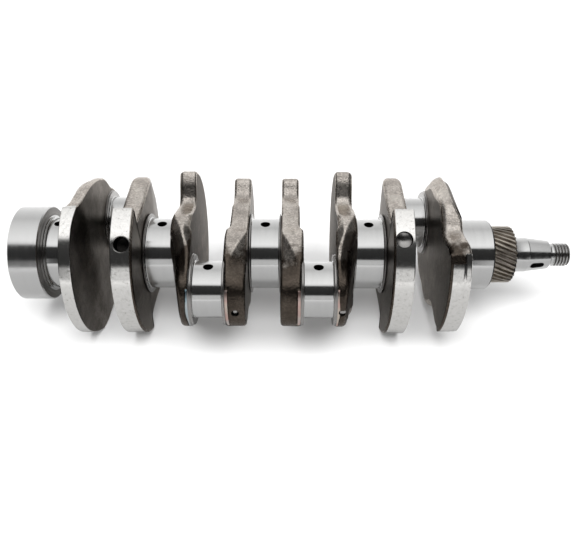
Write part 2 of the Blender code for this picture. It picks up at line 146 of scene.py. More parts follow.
def ramp(tree, value, stops):
    """A colour by value: each stop is a position and a grey level or a colour."""
    node = add_node(tree, "ShaderNodeValToRGB", {"Fac": value})
    elements = node.color_ramp.elements
    while len(elements) < len(stops):
        elements.new(0.5)
    for element, (position, colour) in zip(elements, stops):
        element.position = position
        if not isinstance(colour, tuple):
            colour = (colour, colour, colour)
        element.color = (*colour, 1.0)
    return node.outputs["Color"]


def bump(tree, shader, height, strength, distance):
    node = add_node(tree, "ShaderNodeBump",
                    {"Height": height, "Strength": strength, "Distance": distance})
    tree.links.new(node.outputs["Normal"], shader.inputs["Normal"])


def mixed(tree, factor, low, high, blend="MIX"):
    """A colour mix: sockets 0, 6 and 7 are its factor and colours, output 2 its colour."""
    node = add_node(tree, "ShaderNodeMix", data_type="RGBA", blend_type=blend)
    for socket, value in ((0, factor), (6, low), (7, high)):
        if hasattr(value, "is_output"):
            tree.links.new(value, node.inputs[socket])
        else:
            node.inputs[socket].default_value = value
    return node.outputs[2]


def forged_material(name, tints, gloss_range, grain_depth, stain_and_painted_shade):
    """Shot-blasted and oiled forging: fine grain with paler rubbed patches. Its colour is
    multiplied by painted shade at the noses and counterweights on the -Y side, which face the
    front and the floor."""
    mat, tree, shader = new_material(name, 1.0, 0.4, tints[1])
    shader.inputs["Specular Tint"].default_value = (0.8, 0.78, 0.76, 1.0)
    where = place(tree)
    patches = noise(tree, where, 55.0, 4.0, 0.6)
    tint = ramp(tree, patches, list(zip((0.32, 0.5, 0.68), tints)))
    grain = noise(tree, where, 620.0, 3.0, 0.7)
    specks = ramp(tree, grain, [(0.35, 0.78), (0.5, 0.96), (0.66, 1.32)])
    grainy = mixed(tree, 1.0, tint, specks, "MULTIPLY")
    # Painted shade: the colour is darkened on the -Y side, at the noses and counterweights
    # towards the front.
    spot = add_node(tree, "ShaderNodeSeparateXYZ", {"Vector": where})
    reach = maths(tree, "MULTIPLY_ADD", spot.outputs["Y"], -10.0, patches)
    scale = ramp(tree, reach, [(0.86, 1.0), (1.04, stain_and_painted_shade)])
    tree.links.new(mixed(tree, 1.0, grainy, scale, "MULTIPLY"), shader.inputs["Base Color"])
    lumps = noise(tree, where, 170.0, 2.0, 0.5)
    bump(tree, shader, maths(tree, "ADD", grain, lumps), 0.8, grain_depth)
    gloss = ramp(tree, patches, list(zip((0.3, 0.7), gloss_range)))
    tree.links.new(gloss, shader.inputs["Roughness"])
    return mat


def turned_material(name, colour, roughness, line_depth=FINE_LINE):
    """Ground or turned steel: fine lines run round the axis, so they vary along X alone."""
    mat, tree, shader = new_material(name, 1.0, roughness, colour)
    shader.inputs["Anisotropic"].default_value = 0.5
    shader.inputs["Anisotropic Rotation"].default_value = 0.25
    tangent = add_node(tree, "ShaderNodeTangent", direction_type="RADIAL", axis="X")
    tree.links.new(tangent.outputs["Tangent"], shader.inputs["Tangent"])
    lines = noise(tree, place(tree, (1.0, 0.012, 0.012)), 2600.0, 2.0, 0.6)
    bump(tree, shader, lines, 0.5, line_depth)
    smear = noise(tree, place(tree, (1.0, 0.15, 0.15)), 260.0, 3.0, 0.6)
    gloss = ramp(tree, smear, [(0.3, roughness * 0.75), (0.7, roughness * 1.3)])
    tree.links.new(gloss, shader.inputs["Roughness"])
    shade = ramp(tree, smear, [(0.25, tuple(c * 0.93 for c in colour)), (0.75, colour)])
    tree.links.new(shade, shader.inputs["Base Color"])
    return mat


def rim_material():
    """The counterweights' turned rims: bright, with handling marks and pits."""
    mat, tree, shader = new_material("turned_rim_look", 1.0, 0.2, (0.65, 0.64, 0.62))
    where = place(tree)
    lines = noise(tree, place(tree, (1.0, 0.03, 0.03)), 1300.0, 3.0, 0.6)
    waves = noise(tree, where, 90.0, 3.0, 0.6)
    height = maths(tree, "ADD", maths(tree, "MULTIPLY", waves, 4.0), lines)
    bump(tree, shader, height, 0.5, FINE_LINE)
    marks = noise(tree, where, 420.0, 5.0, 0.75)
    shade = ramp(tree, marks, [(0.29, (0.3, 0.29, 0.27)), (0.4, (0.7, 0.69, 0.67)),
                               (0.7, (0.8, 0.79, 0.77))])
    tree.links.new(shade, shader.inputs["Base Color"])
    gloss = ramp(tree, marks, [(0.28, 0.26), (0.5, 0.12)])
    tree.links.new(gloss, shader.inputs["Roughness"])
    return mat


def tinted_material(name, tints):
    """Machined bands beside the crankpins, lightly coloured by heat."""
    mat, tree, shader = new_material(name, 1.0, 0.3, tints[0])
    stain_and_painted_shade = noise(tree, place(tree), 60.0, 2.0, 0.5)
    shade = ramp(tree, stain_and_painted_shade, list(zip((0.35, 0.5, 0.65), tints)))
    tree.links.new(shade, shader.inputs["Base Color"])
    lines = noise(tree, place(tree), 1500.0, 2.0, 0.6)
    bump(tree, shader, lines, 0.4, 0.00001)
    return mat


def gear_material():
    mat, tree, shader = new_material("gear_steel_look", 1.0, 0.36, (0.42, 0.38, 0.33))
    where = place(tree)
    stain_and_painted_shade = noise(tree, where, 150.0, 3.0, 0.6)
    shade = ramp(tree, stain_and_painted_shade, [(0.3, (0.27, 0.24, 0.205)), (0.7, (0.5, 0.46, 0.41))])
    tree.links.new(shade, shader.inputs["Base Color"])
    grain = noise(tree, where, 1800.0, 2.0, 0.6)
    bump(tree, shader, grain, 0.4, 0.00004)
    return mat


def plain_material(name, metallic, roughness, colour, grain_scale, grain_depth):
    mat, tree, shader = new_material(name, metallic, roughness, colour)
    where = place(tree)
    grain = noise(tree, where, grain_scale, 3.0, 0.6)
    bump(tree, shader, grain, 0.5, grain_depth)
    shade = ramp(tree, grain, [(0.3, tuple(c * 0.8 for c in colour)), (0.7, colour)])
    tree.links.new(shade, shader.inputs["Base Color"])
    return mat


# The last colour of each forging is its painted shade on the -Y side.
FORGED = forged_material("forged_steel_look",
                         [(0.36, 0.33, 0.3), (0.5, 0.46, 0.42), (0.64, 0.6, 0.55)],
                         (0.2, 0.32), 0.00035, (0.16, 0.142, 0.127))
# Darker copies of the forging for the webs' side faces: painted shade between the webs. The
# rougher copy is for webs 3 and 6.
FORGED_FACE_SHADE = forged_material("forged_face_shade_look",
                              [(0.07, 0.06, 0.052), (0.13, 0.116, 0.103), (0.27, 0.25, 0.23)],
                              (0.28, 0.4), 0.00025, (0.9, 0.9, 0.9))
FORGED_DULL_SHADE = forged_material("dull_face_shade_look",
                              [(0.06, 0.051, 0.044), (0.11, 0.098, 0.087), (0.22, 0.2, 0.18)],
                              (0.42, 0.55), 0.00025, (0.9, 0.9, 0.9))
GROUND = turned_material("ground_journal_look", (0.58, 0.58, 0.575), 0.12)
PAD = turned_material("machined_pad_look", (0.36, 0.35, 0.34), 0.28)
MACHINED = turned_material("machined_steel_look", (0.6, 0.6, 0.595), 0.2, 0.000008)
END_FACE = plain_material("turned_end_face_look", 1.0, 0.32, (0.24, 0.23, 0.22), 1200.0, 0.00001)
RIM = rim_material()
COOL_BAND = tinted_material("cool_band_look",
                            [(0.24, 0.36, 0.42), (0.4, 0.5, 0.54), (0.52, 0.54, 0.54)])
WARM_BAND = tinted_material("warm_band_look",
                            [(0.6, 0.53, 0.46), (0.58, 0.4, 0.36), (0.56, 0.5, 0.47)])
GEAR = gear_material()
# Near black: painted shade in holes, slots, grooves and on the chamfer beside the gear.
BORE_SHADE = plain_material("bore_shade_look", 1.0, 0.5, (0.035, 0.033, 0.031), 900.0, 0.00003)
PLUG = plain_material("plug_steel_look", 1.0, 0.22, (0.4, 0.39, 0.38), 700.0, 0.00002)
BEARING = turned_material("bearing_steel_look", (0.8, 0.81, 0.83), 0.12, 0.000006)
CAGE = plain_material("cage_steel_look", 1.0, 0.35, (0.6, 0.56, 0.48), 900.0, 0.00002)
RUBBER = plain_material("seal_rubber_look", 0.0, 0.6, (0.02, 0.02, 0.022), 1500.0, 0.00003)


# ---------------------------------------------------------------- mesh tools

SHARP = 32.0            # edges with a wider angle than this are shaded sharp, in degrees
WELD = 0.0000005        # points nearer than this are made one, in metres


class Shells:
    """Collects points and faces, each face with its material slot, for one mesh."""

    def __init__(self):
        self.points = []
        self.faces = []
        self.slots = []

    def add_points(self, points):
        start = len(self.points)
        self.points.extend([tuple(p) for p in points])
        return start

    def add_rings(self, rings, slots):
        """Joins neighbouring rings of equal length; a ring of one point closes an end. Each
        slot is for the faces up to the next ring, as one number or one for each face."""
        starts = [(self.add_points(ring), len(ring)) for ring in rings]
        for (low, low_n), (high, high_n), slot in zip(starts[:-1], starts[1:], slots):
            count = max(low_n, high_n)
            for i in range(count):
                k = (i + 1) % count
                face = [low + i % low_n, low + k % low_n, high + k % high_n, high + i % high_n]
                self.faces.append([v for j, v in enumerate(face) if v not in face[:j]])
                self.slots.append(slot if np.isscalar(slot) else int(slot[i]))

    def mesh(self, name, materials, sharp=SHARP):
        mesh = bpy.data.meshes.new(name)
        mesh.from_pydata([tuple(c * MM for c in p) for p in self.points], [], self.faces)
        for mat in materials:
            mesh.materials.append(mat)
        mesh.polygons.foreach_set("material_index", self.slots)
        work = bmesh.new()
        work.from_mesh(mesh)
        bmesh.ops.remove_doubles(work, verts=work.verts, dist=WELD)
        bmesh.ops.recalc_face_normals(work, faces=work.faces)
        work.to_mesh(mesh)
        work.free()
        mesh.shade_smooth()
        mesh.set_sharp_from_angle(angle=math.radians(sharp))
        return mesh


def turn_profile(shells, profile, y=0.0, steps=144):
    """Turns (x, radius) points round the line parallel to X at that y. A point's third value,
    where it has one, is the slot of the face that ends there, instead of slot 0."""
    angles = np.arange(steps) * 2 * math.pi / steps
    rings = []
    for x, radius, *_ in profile:
        if radius <= 0:
            rings.append([(x, y, 0.0)])
        else:
            rings.append(np.stack([np.full(steps, x), y + radius * np.cos(angles),
                                   radius * np.sin(angles)], axis=1))
    shells.add_rings(rings, [point[2] if len(point) > 2 else 0 for point in profile[1:]])


def add_to_scene(name, data):
    obj = bpy.data.objects.new(name, data)
    bpy.context.scene.collection.objects.link(obj)
    return obj


def add_piece(name, mesh, node, body=CRANK):
    """A visible piece on a body, standing in for its CAD node where it has one."""
    obj = add_to_scene(name, mesh)
    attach(obj, body)
    if node:
        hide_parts(node)
    return obj


def baked_cut(obj, cutters):
    """Subtracts the cutters for good and removes them."""
    for cutter in cutters:
        boolean = obj.modifiers.new("Cut", "BOOLEAN")
        boolean.operation = "DIFFERENCE"
        boolean.solver = "EXACT"
        boolean.object = cutter
    bpy.context.view_layer.update()
    graph = bpy.context.evaluated_depsgraph_get()
    mesh = bpy.data.meshes.new_from_object(obj.evaluated_get(graph))
    mesh.set_sharp_from_angle(angle=math.radians(SHARP))
    obj.modifiers.clear()
    old = obj.data
    obj.data = mesh
    bpy.data.meshes.remove(old)
    for cutter in cutters:
        bpy.data.objects.remove(cutter)


def bore_cutter(mouth, way, profile, slot_count, slot, steps=40):
    """A turned cutter: profile of (depth along way, radius) points, its faces in one slot
    unless a point names another as its third value. It has slot_count empty slots."""
    way = Vector(way).normalized()
    shells = Shells()
    points = [(p[0], p[1], p[2] if len(p) > 2 else slot) for p in profile]
    if points[0][1] > 0:
        points.insert(0, (points[0][0], 0.0, slot))
    if points[-1][1] > 0:
        points.append((points[-1][0], 0.0, slot))
    turn_profile(shells, points, steps=steps)
    obj = add_to_scene("cutter", shells.mesh("cutter", [None] * slot_count))
    turn = way.to_track_quat("X", "Z").to_matrix().to_4x4()
    obj.matrix_world = Matrix.Translation(Vector(mouth) * MM) @ turn
    return obj


def round_corner(centre, radius, start, end, count):
    """Points (x, r) on an arc about centre, angles in degrees."""
    return [(centre[0] + radius * math.cos(math.radians(start + (end - start) * i / count)),
             centre[1] + radius * math.sin(math.radians(start + (end - start) * i / count)))
            for i in range(count + 1)]


# ---------------------------------------------------------------- webs

STEPS = 360             # points round a web's outline
RISE = 7                # rings over the pin side's edge
BODY = 18               # rings from there to the main side
HEART = np.array([-20.0, 0.0])      # the point that a web's faces run in to
# How large each ring on a web's face is, as a share of its outline.
FACE_SHARES = [0.97, 0.93, 0.88, 0.82, 0.75, 0.67, 0.58, 0.48, 0.37, 0.25, 0.12]
CURVE_STEPS = 14        # points between two given points of an outline
OFF_ARC = 9.0           # a turn beyond every counterweight's arc, in radians
MAIN_FACE = WEB_THICKNESS - 0.8     # t of the forged face on the main journal's side
LENS_ANGLE = 42.0       # half the angle of the machined lens at the nose, in degrees
LENS_CHAMFER = 0.35
# Material slots of a web's forging.
FORGED_SLOT, RIM_SLOT, BURR_SLOT, BAND_SLOT, BORE_SHADE_SLOT, SHADED_FACE_SLOT = range(6)


def smooth_through(points):
    """A Catmull-Rom curve through the points, as a dense list."""
    pts = [np.array(p, float) for p in points]
    pts = [2 * pts[0] - pts[1]] + pts + [2 * pts[-1] - pts[-2]]
    out = []
    for a, b, c, d in zip(pts[:-3], pts[1:-2], pts[2:-1], pts[3:]):
        for i in range(CURVE_STEPS):
            t = i / CURVE_STEPS
            out.append(0.5 * ((2 * b) + (c - a) * t + (2 * a - 5 * b + 4 * c - d) * t ** 2
                              + (3 * b - a - 3 * c + d) * t ** 3))
    out.append(pts[-2])
    return out


def even_steps(points, count):
    """The same open line with points at even distances."""
    points = np.array(points)
    gaps = np.linalg.norm(np.diff(points, axis=0), axis=1)
    along = np.concatenate([[0.0], np.cumsum(gaps)])
    target = np.linspace(0.0, along[-1], count)
    return np.stack([np.interp(target, along, points[:, k]) for k in (0, 1)], axis=1)


def web_outline(weight_r, weight_angle, shoulder, nose_r, nose_start):
    """The whole outline as STEPS points (s, z); s runs towards the crankpin. Also returns how
    far round the counterweight's arc each point lies, in radians, or OFF_ARC."""
    limit = math.radians(weight_angle)
    arc_len = weight_r * limit
    arc = [(-weight_r * math.cos(a), weight_r * math.sin(a))
           for a in np.linspace(0.0, limit, 60)]
    start = math.radians(nose_start)
    centre = NOSE_REACH - nose_r
    nose = [(centre + nose_r * math.cos(a), nose_r * math.sin(a))
            for a in np.linspace(start, 0.0, 30)]
    side = smooth_through([arc[-1]] + shoulder + [nose[0]])
    rest = side + nose[1:]
    rest_len = np.linalg.norm(np.diff(np.array(rest), axis=0), axis=1).sum()
    half = STEPS // 2
    arc_n = int(round(half * arc_len / (arc_len + rest_len)))
    upper_arc = even_steps(arc, arc_n + 1)
    upper_rest = even_steps(rest, half - arc_n + 1)[1:]
    upper = np.concatenate([upper_arc, upper_rest])
    whole = np.concatenate([upper, upper[-2:0:-1] * (1, -1)])
    turn = np.abs(np.arctan2(whole[:, 1], -whole[:, 0]))
    on_arc = np.zeros(STEPS, bool)
    on_arc[:arc_n + 1] = True
    on_arc[STEPS - arc_n:] = True
    turn[~on_arc] = OFF_ARC
    return whole, turn


def soften(values, rounds, keep):
    """Smooths a closed line of points or of numbers, except where keep is true."""
    keep = keep[:, None] if values.ndim > 1 else keep
    for _ in range(rounds):
        near = (np.roll(values, 1, axis=0) + np.roll(values, -1, axis=0)) / 2
        values = np.where(keep, values, (values + near) / 2)
    return values


def outward(points):
    """Unit normals of a closed outline, pointing out whichever way it runs."""
    along = np.roll(points, -1, axis=0) - np.roll(points, 1, axis=0)
    normal = np.stack([along[:, 1], -along[:, 0]], axis=1)
    normal /= np.linalg.norm(normal, axis=1)[:, None]
    if (normal * (points - HEART)).sum() < 0:
        normal = -normal
    return normal


def step_up(start, end, value):
    """0 on start's side, 1 on end's side, smooth between."""
    t = np.clip((value - start) / (end - start), 0.0, 1.0)
    return t * t * (3 - 2 * t)


def edge_drop(depth, radius):
    """How far a rounded edge falls back at this depth below its face."""
    inside = np.clip(radius - depth, 0.0, radius)
    return radius - np.sqrt(np.maximum(radius ** 2 - inside ** 2, 0.0))


class Web:
    """One web's shape: its outline, its two faces and the section of its rim. A place on it is
    s towards the crankpin, z up, and t from the crankpin's side to the main journal's."""
    # Counterweight's radius and half angle, points of the shoulder, the nose's radius and the
    # angle where it starts.
    outline = (COUNTERWEIGHT_R, 67.0, [], 33.0, 57.0)
    pin_edge = 4.0          # radius of the forged edge on the crankpin's side
    nose_edge = 0.0         # what that radius gains at the nose's shoulders
    main_edge = 1.6         # radius of the forged edge on the main journal's side
    rim_edge = 0.5          # the same where the rim is machined
    lean = 10.0             # slant of the nose on the main journal's side, in degrees
    lean_start = 34.0
    band = 3.4              # width of the machined lens at the nose
    machined = ()           # (lowest t, highest t, half angle in degrees) of each rim band
    underside = 1.0         # how much further round a machined rim reaches below

    def pin_face(self, s, z):
        return 0.0 * s

    def nose_lean(self, s):
        return np.tan(math.radians(self.lean)) * np.maximum(0.0, s - self.lean_start)

    def main_face(self, s, z):
        return MAIN_FACE - self.nose_lean(s)

    def forged_drop(self, t, s, z):
        """How far the forged rim lies below the outline."""
        return 0.0 * t

    def rim_drop(self, t):
        """How far the machined rim lies below the outline."""
        return 0.0 * t


class OuterWeb(Web):
    outline = (COUNTERWEIGHT_R, 67.0,
               [(-25.2, 52.5), (-21.0, 50.5), (-9.0, 50.0), (3.0, 50.8), (15.0, 52.0),
                (27.0, 53.3), (36.0, 53.2), (44.0, 50.0), (52.0, 45.0), (60.0, 36.0)],
               33.0, 57.0)
    machined = ((0.0, 15.0, 90.0),)
    pin_edge = 5.0
    main_edge = 4.0
    rim_edge = 2.0


class RearWeb(Web):
    outline = (COUNTERWEIGHT_R, 67.0,
               [(-22.0, 63.0), (-11.0, 62.6), (0.0, 62.2), (10.0, 61.2), (20.0, 59.0),
                (31.0, 55.5), (41.5, 50.2), (48.0, 46.0), (54.0, 39.5), (60.0, 31.5)],
               33.0, 50.0)
    machined = ((1.9, 12.4, 90.0),)
    pin_edge = 1.6
    main_edge = 5.0

    def pin_face(self, s, z):
        return 3.4 * step_up(-14.0, -46.0, s)

    def main_face(self, s, z):
        radius = np.hypot(s, z)
        away = np.maximum(0.0, radius - 44.0) * step_up(30.0, 0.0, s)
        return MAIN_FACE - away * 0.16 - self.nose_lean(s)

    def forged_drop(self, t, s, z):
        groove = 1.5 * np.exp(-((t - 6.6) / 0.9) ** 2)
        return groove + 0.45 * np.maximum(0.0, t - 3.5)


class FrontWeb(Web):
    outline = (COUNTERWEIGHT_R, 36.0,
               [(-47.0, 42.5), (-40.0, 41.6), (-30.0, 39.5), (-22.0, 40.0), (-14.0, 47.0),
                (-5.0, 53.0), (10.0, 55.0), (25.0, 55.0), (40.0, 53.0), (52.0, 46.5),
                (60.0, 36.0)], 33.0, 57.0)
    machined = ((1.7, 11.5, 28.5), (11.5, 16.7, 36.0))
    underside = 1.3
    pin_edge = 5.5
    nose_edge = 5.0
    main_edge = 3.0

    def main_face(self, s, z):
        fall = 0.62 * np.maximum(0.0, np.abs(z) - 44.5) * step_up(-30.0, -14.0, s)
        return MAIN_FACE - fall - self.nose_lean(s)

    def rim_drop(self, t):
        return 0.5 * step_up(10.6, 12.4, t)


class InnerWeb(Web):
    outline = (70.0, 63.5,
               [(-24.0, 55.0), (-16.6, 43.8), (-6.9, 42.3), (5.0, 45.5), (18.9, 49.8),
                (33.0, 48.4), (45.0, 39.5), (55.0, 31.5)], 29.5, 58.0)
    pin_edge = 2.2
    main_edge = 4.5
    lean_start = 33.0
    lean = 10.4
    band = 2.8

    def pin_face(self, s, z):
        return 2.0 * step_up(33.0, 26.0, s)

    def main_face(self, s, z):
        shoulder = 1.5 * step_up(36.5, 40.0, np.hypot(s, z)) * step_up(-12.0, -4.0, s)
        return MAIN_FACE - self.nose_lean(s) + shoulder * step_up(50.0, 34.0, s)

    def forged_drop(self, t, s, z):
        start = WEB_THICKNESS - 14.3 * step_up(2.0, 56.0, s)
        slant = 0.75 * np.maximum(0.0, t - start) * step_up(72.0, 54.0, s)
        reach = 6.0 * step_up(4.0, 20.0, s) * step_up(52.0, 34.0, s)
        return slant + 0.9 * np.maximum(0.0, reach - t)


class MiddleWeb(Web):
    outline = (67.5, 42.0,
               [(-43.0, 48.5), (-32.0, 39.2), (-17.0, 38.6), (0.0, 37.0), (15.0, 36.5),
                (28.0, 38.0), (42.0, 34.0)], 29.5, 66.0)
    pin_edge = 3.0
    main_edge = 2.6
    lean = 0.0
    band = 2.8

    def pin_face(self, s, z):
        proud = 1.7 * step_up(29.0, 32.0, np.hypot(s - THROW, z))
        return 1.7 - 0.7 * step_up(-22.0, -17.0, s) - (1.0 + proud) * step_up(11.0, 17.0, s)

    def forged_drop(self, t, s, z):
        start = WEB_THICKNESS - WEB_THICKNESS * step_up(12.0, 64.0, s)
        return 0.7 * np.maximum(0.0, t - start) * step_up(75.0, 38.0, s)


WEB_KIND = {1: FrontWeb, 2: OuterWeb, 3: InnerWeb, 4: MiddleWeb,
            5: MiddleWeb, 6: InnerWeb, 7: OuterWeb, 8: RearWeb}
# The balance drillings: how far above level each mouth lies, in degrees, and its (depth,
# radius, slot) points: a bright burr, then a wall in painted shade.
BALANCE_TURN = {2: 44.8, 7: 41.0}
BALANCE_HOLE = {
    2: [(-3.0, 8.0, BURR_SLOT), (0.0, 6.7, BURR_SLOT), (0.5, 6.2, BORE_SHADE_SLOT),
        (4.0, 6.1, BORE_SHADE_SLOT), (7.5, 0.0, BURR_SLOT)],
    7: [(-3.0, 8.6, BURR_SLOT), (0.0, 7.0, BURR_SLOT), (0.8, 6.1, BURR_SLOT),
        (11.0, 6.0, BORE_SHADE_SLOT), (14.0, 0.0, BORE_SHADE_SLOT)]}


def face_rings(edge, surface):
    """Rings that shrink from the edge to HEART, lying on the surface t(s, z)."""
    out = []
    for share in FACE_SHARES:
        flat = HEART + (edge[:, :2] - HEART) * share
        t = surface(flat[:, 0], flat[:, 1])
        out.append(np.stack([flat[:, 0], flat[:, 1], t], axis=1))
    centre = np.array([[HEART[0], HEART[1], 0.0]])
    centre[0, 2] = surface(centre[:, 0], centre[:, 1])[0]
    out.append(centre)
    return out


def web_rings(kind):
    """Rings of (s, z, t) points from the middle of the pin side, over the rim, to the middle
    of the main side, with a material slot for each face between them."""
    line, turn = web_outline(*kind.outline)
    # The counterweight's arc stays as it is, except close to its ends.
    line = soften(line, 3, turn < math.radians(kind.outline[1]) - 0.03)
    normal = outward(line)
    turn = np.where(line[:, 1] < 0.0, turn / kind.underside, turn)
    widest = max([half for low, high, half in kind.machined], default=-1.0)
    machined = turn <= math.radians(widest)
    weight = soften(machined.astype(float), 1, np.zeros(STEPS, bool))
    s, z = line[:, 0], line[:, 1]
    pin_t = kind.pin_face(s, z)
    main_t = kind.main_face(s, z)

    # The machined lens at the nose continues the cheek of the crankpin.
    pin_angle = np.abs(np.arctan2(z, s - THROW))
    lens = kind.band * (1 - (pin_angle / math.radians(LENS_ANGLE)) ** 2)
    lens = np.where(s > THROW, np.maximum(lens, 0.0), 0.0)
    in_lens = step_up(0.0, 0.8, lens)
    cut = np.maximum(np.hypot(s - THROW, z) - CHEEK_R, 0.0)

    # Depths of the rings over the rim: close together over the pin side's rounded edge.
    forged_edge = kind.pin_edge + (kind.nose_edge * step_up(0.0, 22.0, s)
                                   * step_up(30.0, 44.0, np.abs(z)))
    pin_edge = forged_edge * (1 - weight) + 0.5 * weight
    main_edge = kind.main_edge * (1 - weight) + kind.rim_edge * weight
    rise = np.maximum(np.maximum(lens, forged_edge), 1.0)
    base = pin_t + rise
    levels = [pin_t + rise * (1 - math.cos(math.pi / 2 * k / RISE)) for k in range(RISE)]
    levels.append(base - 0.02)
    for k in range(1, BODY + 1):
        share = (k / BODY + math.sin(math.pi / 2 * k / BODY)) / 2
        levels.append(base + (main_t - base) * share)

    rings = []
    for k, t in enumerate(levels):
        drop = edge_drop(t - pin_t, pin_edge) + edge_drop(main_t - t, main_edge)
        drop = np.where(weight > 0.5, drop + kind.rim_drop(t), drop)
        drop = drop + kind.forged_drop(t, s, z) * (1 - weight) * step_up(-30.0, -10.0, s)
        lens_drop = cut + LENS_CHAMFER * (t - pin_t < 0.3)
        here = in_lens if k <= RISE else 0.0 * in_lens
        drop = drop * (1 - here) + lens_drop * here
        ring = line - normal * drop[:, None]
        rings.append(np.stack([ring[:, 0], ring[:, 1], t], axis=1))

    slots = []
    for k in range(len(rings) - 1):
        t = (rings[k][:, 2] + rings[k + 1][:, 2]) / 2
        slot = np.full(STEPS, FORGED_SLOT)
        for low, high, half in kind.machined:
            slot[(turn <= math.radians(half)) & (t >= low) & (t <= high)] = RIM_SLOT
        if k < RISE:
            slot[in_lens > 0.5] = BAND_SLOT
        slots.append(slot)

    pin_side = face_rings(rings[0], kind.pin_face)[::-1]
    main_side = face_rings(rings[-1], kind.main_face)
    all_slots = [SHADED_FACE_SLOT] * len(pin_side) + slots + [SHADED_FACE_SLOT] * len(main_side)
    return pin_side + rings + main_side, all_slots


def make_pads(name, cheek_x, main_x, towards, pin_y):
    """A web's machined collar at main_x and its machined cheek at cheek_x."""
    pads = Shells()
    turn_profile(pads, [(main_x, MAIN_R - 3.0), (main_x, COLLAR_R - 0.3),
                        (main_x - towards * 0.3, COLLAR_R),
                        (main_x - towards * 0.9, COLLAR_R),
                        # The groove beside the collar is near black: painted shade.
                        (main_x - towards * 1.1, COLLAR_R - 1.5, 1),
                        (main_x - towards * 3.4, COLLAR_R - 1.5, 1)])
    turn_profile(pads, [(cheek_x, PIN_R - 3.0), (cheek_x, CHEEK_R - 0.4),
                        (cheek_x + towards * 0.4, CHEEK_R),
                        (cheek_x + towards * 1.4, CHEEK_R),
                        (cheek_x + towards * 2.5, CHEEK_R + 1.1)], y=pin_y)
    add_piece(name, pads.mesh(name, [PAD, BORE_SHADE]), None)


def make_web(number):
    node = f"web_{number}"
    pin = (number + 1) // 2
    low, high = node_box(node)
    pin_x, pin_y, _ = middle(f"crankpin_{pin}")
    side = 1 if pin_y > 0 else -1
    towards = 1 if (low[0] + high[0]) / 2 > pin_x else -1
    cheek_x = low[0] if towards > 0 else high[0]
    face_x = cheek_x + towards * CHEEK_LEN
    rings, slots = web_rings(WEB_KIND[number]())
    placed = [np.stack([face_x + towards * r[:, 2], side * r[:, 0], r[:, 1]], axis=1)
              for r in rings]
    shells = Shells()
    shells.add_rings(placed, slots)
    # The side faces take a darker copy of the forging: painted shade.
    looks = [FORGED, RIM, PAD, COOL_BAND if number == 6 else WARM_BAND, BORE_SHADE,
             FORGED_DULL_SHADE if number in (3, 6) else FORGED_FACE_SHADE]
    obj = add_piece(f"{node}_forging", shells.mesh(node, looks), node)
    if number in BALANCE_TURN:
        turn = math.radians(BALANCE_TURN[number])
        way = Vector((0.0, side * math.cos(turn), -math.sin(turn)))
        centre_x = face_x + towards * WEB_THICKNESS / 2
        mouth = Vector((centre_x, 0.0, 0.0)) - way * COUNTERWEIGHT_R
        baked_cut(obj, [bore_cutter(mouth, way, BALANCE_HOLE[number], len(looks), BORE_SHADE_SLOT)])
    if number % 2:
        mouth = (middle(f"oil_plug_{pin}")[0], side * NOSE_REACH, 0.0)
        wall = PLUG_R + 0.1
        # The recess round the plug has a near-black wall: painted shade.
        oilway = [(-1.0, 3.9), (0.0, 3.1), (0.4, wall), (6.5, wall)]
        baked_cut(obj, [bore_cutter(mouth, (0.0, -side, 0.0), oilway, len(looks), BORE_SHADE_SLOT)])
    main_x = face_x + towards * (WEB_THICKNESS + COLLAR_LEN)
    make_pads(f"{node}_pads", cheek_x, main_x, towards, side * THROW)


# ---------------------------------------------------------------- journals

JOURNAL_GAP = 0.3       # how far a ground surface runs on past its CAD node
SINK = 0.4              # how far a journal's hidden ends reach into the webs
FILLET_STEPS = 6


def left_end(x, radius):
    """Profile points of a journal's -X end: hidden end face, then hollow fillet."""
    arc = round_corner((x + FILLET, radius + FILLET), FILLET, 180.0, 270.0, FILLET_STEPS)
    return [(x - SINK, 0.0), (x - SINK, radius + FILLET)] + arc


def right_end(x, radius):
    """The same for its +X end, in the order away from the journal."""
    arc = round_corner((x - FILLET, radius + FILLET), FILLET, 270.0, 360.0, FILLET_STEPS)
    return arc + [(x + SINK, radius + FILLET), (x + SINK, 0.0)]


def oil_cutter(x, y, radius, up):
    """Drills an oil hole from the top of a journal, or from below where up is -1."""
    wall = OIL_HOLE_R + 0.6
    profile = [(-2.0, OIL_HOLE_R + 2.6), (-0.2, OIL_HOLE_R + 1.2), (0.6, wall), (radius, wall)]
    # The hole's wall takes the near-black bore look: painted shade.
    return bore_cutter((x, y, up * radius), (0, 0, -up), profile, 2, 1, 32)


def make_journal(node, profile, y, hole_x, radius, up):
    shells = Shells()
    turn_profile(shells, profile, y)
    obj = add_piece(node + "_ground", shells.mesh(node, [GROUND, BORE_SHADE]), node)
    baked_cut(obj, [oil_cutter(hole_x, y, radius, up)])


